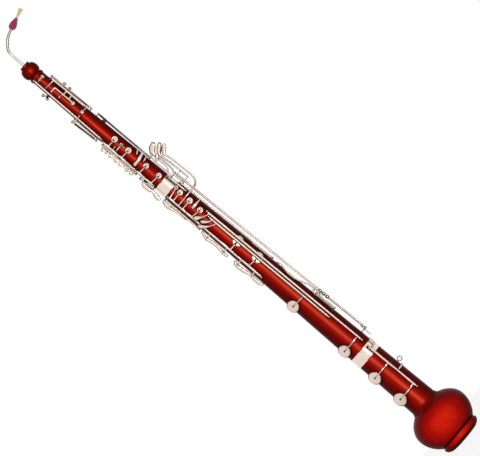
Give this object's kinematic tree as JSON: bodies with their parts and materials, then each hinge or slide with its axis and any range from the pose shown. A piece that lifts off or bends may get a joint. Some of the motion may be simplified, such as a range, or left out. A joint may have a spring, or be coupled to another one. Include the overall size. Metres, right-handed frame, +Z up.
{
  "type": "heckelphone",
  "caption": "Bass double-reed woodwind with a turned wooden body, bulb-shaped bell, bent crook and working key mechanism.",
  "frame": {"origin": "middle of the outline's footprint, on the plane of the bell's foot", "axes": "+Z up along the body towards the crook and reed, -Y the front with the finger keys, +X the side the reed leans to"},
  "size_m": [0.159, 0.1394, 1.3065],
  "materials": {
    "band": "silver plated, polished",
    "cane": "scraped cane",
    "cork": "fine cork",
    "crook_metal": "silver plated, polished",
    "silver": "silver plated, polished",
    "stained_wood": "dark red stained and polished",
    "steel": "fine turned",
    "thread": "wound crimson thread"
  },
  "bodies": {
    "bell": {"bell": "stained_wood", "bell_rim": "stained_wood", "lower_band": "band", "strap_ring": "silver", "bell_rod": "steel"},
    "lower_joint": {"lower_joint": "stained_wood", "middle_band": "band", "lower_cork": "cork", "main_left_rod": "steel", "outer_left_rod": "steel", "front_outer_rod": "steel", "front_inner_rod": "steel", "right_outer_rod": "steel", "right_inner_rod": "steel", "low_side_rod": "steel", "little_finger_rod": "steel"},
    "top_joint": {"top_joint": "stained_wood", "middle_cork": "cork", "octave_rod": "steel", "trill_rod": "steel", "upper_right_rod": "steel", "arch_rod": "steel", "stack_rod": "steel", "left_side_rod": "steel", "right_long_rod": "steel", "paddle_rod": "steel"},
    "crook": {"crook": "crook_metal", "crook_cork": "cork"},
    "reed": {"reed_binding": "thread", "reed_blades": "cane"},
    "octave_key": {"octave_key": "silver"},
    "second_octave_key": {"second_octave_key": "silver"},
    "upper_vent_key": {"upper_vent_key": "silver"},
    "trill_key": {"trill_key": "silver"},
    "arch_key": {"arch_key": "silver"},
    "left_index_key": {"left_index_key": "silver"},
    "left_vent_key": {"left_vent_key": "silver"},
    "left_middle_key": {"left_middle_key": "silver"},
    "left_ring_key": {"left_ring_key": "silver"},
    "low_ring_key": {"low_ring_key": "silver"},
    "left_side_key": {"left_side_key": "silver"},
    "paddle_key": {"paddle_key": "silver"},
    "right_long_key": {"right_long_key": "silver"},
    "right_index_key": {"right_index_key": "silver"},
    "right_middle_key": {"right_middle_key": "silver"},
    "right_ring_key": {"right_ring_key": "silver"},
    "drop_touch_key": {"drop_touch_key": "silver"},
    "upper_side_key": {"upper_side_key": "silver"},
    "lower_side_key": {"lower_side_key": "silver"},
    "left_bridge_key": {"left_bridge_key": "silver"},
    "low_c_sharp_key": {"low_c_sharp_key": "silver"},
    "e_flat_touch_key": {"e_flat_touch_key": "silver"},
    "low_c_key": {"low_c_key": "silver"},
    "low_b_key": {"low_b_key": "silver"},
    "low_b_flat_key": {"low_b_flat_key": "silver"},
    "little_trill_key": {"little_trill_key": "silver"},
    "e_flat_lever": {"e_flat_lever": "silver"},
    "low_side_key": {"low_side_key": "silver"},
    "bell_upper_key": {"bell_upper_key": "silver"},
    "bell_lower_key": {"bell_lower_key": "silver"}
  },
  "joints": [
    {"name": "lower_joint_draw", "type": "slide", "parent": "bell", "child": "lower_joint", "axis": [0, 0, 1], "range_m": [0, 0.024]},
    {"name": "top_joint_draw", "type": "slide", "parent": "lower_joint", "child": "top_joint", "axis": [0, 0, 1], "range_m": [0, 0.024]},
    {"name": "crook_draw", "type": "slide", "parent": "top_joint", "child": "crook", "axis": [0, 0, 1], "range_m": [0, 0.02]},
    {"name": "reed_draw", "type": "slide", "parent": "crook", "child": "reed", "axis": [0.9688, 0, 0.248], "range_m": [0, 0.006]},
    {"name": "octave_key_hinge", "type": "hinge", "parent": "top_joint", "child": "octave_key", "pos_m": [-0.02066, -0.01802, 1.174], "axis": [-0.0138, -0.0114, -0.9998], "range_deg": [0, 5], "stiffness_Nm_per_rad": 0.05, "springref_deg": -20.05},
    {"name": "second_octave_key_hinge", "type": "hinge", "parent": "top_joint", "child": "second_octave_key", "pos_m": [0.01229, -0.00605, 1.062], "axis": [0.0106, -0.0315, -0.9994], "range_deg": [-6, 0], "stiffness_Nm_per_rad": 0.05, "springref_deg": 20.05},
    {"name": "upper_vent_key_hinge", "type": "hinge", "parent": "top_joint", "child": "upper_vent_key", "pos_m": [0.00714, -0.01305, 1.152], "axis": [-0.0049, -0.0319, -0.9995], "range_deg": [-6, 0], "stiffness_Nm_per_rad": 0.05, "springref_deg": 20.05},
    {"name": "trill_key_hinge", "type": "hinge", "parent": "top_joint", "child": "trill_key", "pos_m": [0.00696, -0.01424, 1.115], "axis": [-0.0049, -0.0319, -0.9995], "range_deg": [-6, 0], "stiffness_Nm_per_rad": 0.05, "springref_deg": 20.05},
    {"name": "arch_key_hinge", "type": "hinge", "parent": "top_joint", "child": "arch_key", "pos_m": [-0.03493, -0.00052, 1.06], "axis": [0.0369, -0.1093, -0.9933], "range_deg": [-5, 0], "stiffness_Nm_per_rad": 0.05, "springref_deg": 20.05},
    {"name": "left_index_key_hinge", "type": "hinge", "parent": "top_joint", "child": "left_index_key", "pos_m": [-0.02608, -0.01825, 0.973], "axis": [-0.0094, -0.0144, -0.9999], "range_deg": [-3.5, 0], "stiffness_Nm_per_rad": 0.05, "springref_deg": 20.05},
    {"name": "left_vent_key_hinge", "type": "hinge", "parent": "top_joint", "child": "left_vent_key", "pos_m": [-0.02626, -0.01853, 0.954], "axis": [-0.0094, -0.0144, -0.9999], "range_deg": [0, 5], "stiffness_Nm_per_rad": 0.05, "springref_deg": -20.05},
    {"name": "left_middle_key_hinge", "type": "hinge", "parent": "top_joint", "child": "left_middle_key", "pos_m": [-0.02643, -0.01879, 0.936], "axis": [-0.0094, -0.0144, -0.9999], "range_deg": [-3.5, 0], "stiffness_Nm_per_rad": 0.05, "springref_deg": 20.05},
    {"name": "left_ring_key_hinge", "type": "hinge", "parent": "top_joint", "child": "left_ring_key", "pos_m": [-0.02689, -0.01949, 0.887], "axis": [-0.0094, -0.0144, -0.9999], "range_deg": [-3.5, 0], "stiffness_Nm_per_rad": 0.05, "springref_deg": 20.05},
    {"name": "low_ring_key_hinge", "type": "hinge", "parent": "top_joint", "child": "low_ring_key", "pos_m": [-0.0272, -0.01997, 0.854], "axis": [-0.0094, -0.0144, -0.9999], "range_deg": [-3.5, 0], "stiffness_Nm_per_rad": 0.05, "springref_deg": 20.05},
    {"name": "left_side_key_hinge", "type": "hinge", "parent": "top_joint", "child": "left_side_key", "pos_m": [-0.0321, -0.01135, 0.94], "axis": [-0.0151, -0.0077, -0.9999], "range_deg": [-6, 0], "stiffness_Nm_per_rad": 0.05, "springref_deg": 20.05},
    {"name": "paddle_key_hinge", "type": "hinge", "parent": "top_joint", "child": "paddle_key", "pos_m": [-0.03444, -0.00945, 0.86], "axis": [-0.0159, -0.0061, -0.9999], "range_deg": [-6, 0], "stiffness_Nm_per_rad": 0.05, "springref_deg": 20.05},
    {"name": "right_long_key_hinge", "type": "hinge", "parent": "top_joint", "child": "right_long_key", "pos_m": [0.01353, -0.009, 0.92], "axis": [-0.0005, -0.0719, -0.9974], "range_deg": [0, 4], "stiffness_Nm_per_rad": 0.05, "springref_deg": -20.05},
    {"name": "right_index_key_hinge", "type": "hinge", "parent": "lower_joint", "child": "right_index_key", "pos_m": [-0.02593, -0.02226, 0.7947], "axis": [-0.0069, -0.0159, -0.9998], "range_deg": [-3.5, 0], "stiffness_Nm_per_rad": 0.05, "springref_deg": 20.05},
    {"name": "right_middle_key_hinge", "type": "hinge", "parent": "lower_joint", "child": "right_middle_key", "pos_m": [-0.02611, -0.02269, 0.7677], "axis": [-0.0069, -0.0159, -0.9998], "range_deg": [-3.5, 0], "stiffness_Nm_per_rad": 0.05, "springref_deg": 20.05},
    {"name": "right_ring_key_hinge", "type": "hinge", "parent": "lower_joint", "child": "right_ring_key", "pos_m": [-0.02628, -0.02309, 0.7427], "axis": [-0.0069, -0.0159, -0.9998], "range_deg": [-3.5, 0], "stiffness_Nm_per_rad": 0.05, "springref_deg": 20.05},
    {"name": "drop_touch_key_hinge", "type": "hinge", "parent": "lower_joint", "child": "drop_touch_key", "pos_m": [0.01472, -0.01388, 0.7527], "axis": [0.0168, -0.0047, -0.9998], "range_deg": [0, 3], "stiffness_Nm_per_rad": 0.05, "springref_deg": -20.05},
    {"name": "upper_side_key_hinge", "type": "hinge", "parent": "lower_joint", "child": "upper_side_key", "pos_m": [-0.02699, -0.02473, 0.6397], "axis": [-0.0069, -0.0159, -0.9998], "range_deg": [0, 4.5], "stiffness_Nm_per_rad": 0.05, "springref_deg": -20.05},
    {"name": "lower_side_key_hinge", "type": "hinge", "parent": "lower_joint", "child": "lower_side_key", "pos_m": [-0.02737, -0.02561, 0.5847], "axis": [-0.0069, -0.0159, -0.9998], "range_deg": [0, 4.5], "stiffness_Nm_per_rad": 0.05, "springref_deg": -20.05},
    {"name": "left_bridge_key_hinge", "type": "hinge", "parent": "lower_joint", "child": "left_bridge_key", "pos_m": [-0.03391, -0.01374, 0.7797], "axis": [-0.0173, -0.0039, -0.9998], "range_deg": [-4, 0], "stiffness_Nm_per_rad": 0.05, "springref_deg": 20.05},
    {"name": "low_c_sharp_key_hinge", "type": "hinge", "parent": "lower_joint", "child": "low_c_sharp_key", "pos_m": [0.00507, -0.03323, 0.5397], "axis": [0.0085, -0.0148, -0.9999], "range_deg": [0, 2.2], "stiffness_Nm_per_rad": 0.05, "springref_deg": -20.05},
    {"name": "e_flat_touch_key_hinge", "type": "hinge", "parent": "lower_joint", "child": "e_flat_touch_key", "pos_m": [-0.00259, -0.03279, 0.7067], "axis": [0.0057, -0.0161, -0.9999], "range_deg": [0, 3], "stiffness_Nm_per_rad": 0.05, "springref_deg": -20.05},
    {"name": "low_c_key_hinge", "type": "hinge", "parent": "lower_joint", "child": "low_c_key", "pos_m": [-0.00193, -0.03467, 0.5897], "axis": [0.0057, -0.0161, -0.9999], "range_deg": [0, 2.2], "stiffness_Nm_per_rad": 0.05, "springref_deg": -20.05},
    {"name": "low_b_key_hinge", "type": "hinge", "parent": "lower_joint", "child": "low_b_key", "pos_m": [0.02406, -0.00408, 0.7397], "axis": [0.0186, -0.0077, -0.9998], "range_deg": [-3.5, 0], "stiffness_Nm_per_rad": 0.05, "springref_deg": 20.05},
    {"name": "low_b_flat_key_hinge", "type": "hinge", "parent": "lower_joint", "child": "low_b_flat_key", "pos_m": [0.01426, -0.01376, 0.7797], "axis": [0.0168, -0.0047, -0.9998], "range_deg": [0, 3], "stiffness_Nm_per_rad": 0.05, "springref_deg": -20.05},
    {"name": "little_trill_key_hinge", "type": "hinge", "parent": "lower_joint", "child": "little_trill_key", "pos_m": [0.00757, -0.02073, 0.8197], "axis": [0.0109, -0.013, -0.9999], "range_deg": [0, 4], "stiffness_Nm_per_rad": 0.05, "springref_deg": -20.05},
    {"name": "e_flat_lever_hinge", "type": "hinge", "parent": "lower_joint", "child": "e_flat_lever", "pos_m": [-0.02603, -0.0225, 0.7797], "axis": [-0.0069, -0.0159, -0.9998], "range_deg": [-2.5, 0], "stiffness_Nm_per_rad": 0.05, "springref_deg": 20.05},
    {"name": "low_side_key_hinge", "type": "hinge", "parent": "lower_joint", "child": "low_side_key", "pos_m": [0.02149, -0.01621, 0.4197], "axis": [0.0093, -0.019, -0.9998], "range_deg": [0, 4], "stiffness_Nm_per_rad": 0.05, "springref_deg": -20.05},
    {"name": "bell_upper_key_hinge", "type": "hinge", "parent": "bell", "child": "bell_upper_key", "pos_m": [0.00638, -0.03397, 0.2284], "axis": [0.0098, -0.0066, -0.9999], "range_deg": [0, 2.2], "stiffness_Nm_per_rad": 0.05, "springref_deg": -20.05},
    {"name": "bell_lower_key_hinge", "type": "hinge", "parent": "bell", "child": "bell_lower_key", "pos_m": [0.00706, -0.03442, 0.1594], "axis": [0.0098, -0.0066, -0.9999], "range_deg": [0, 2.2], "stiffness_Nm_per_rad": 0.05, "springref_deg": -20.05}
  ],
  "couplings": [
    {"joint": "bell_upper_key_hinge", "follows": "low_b_key_hinge", "ratio": -0.6286},
    {"joint": "bell_lower_key_hinge", "follows": "low_b_flat_key_hinge", "ratio": 0.7333}
  ]
}
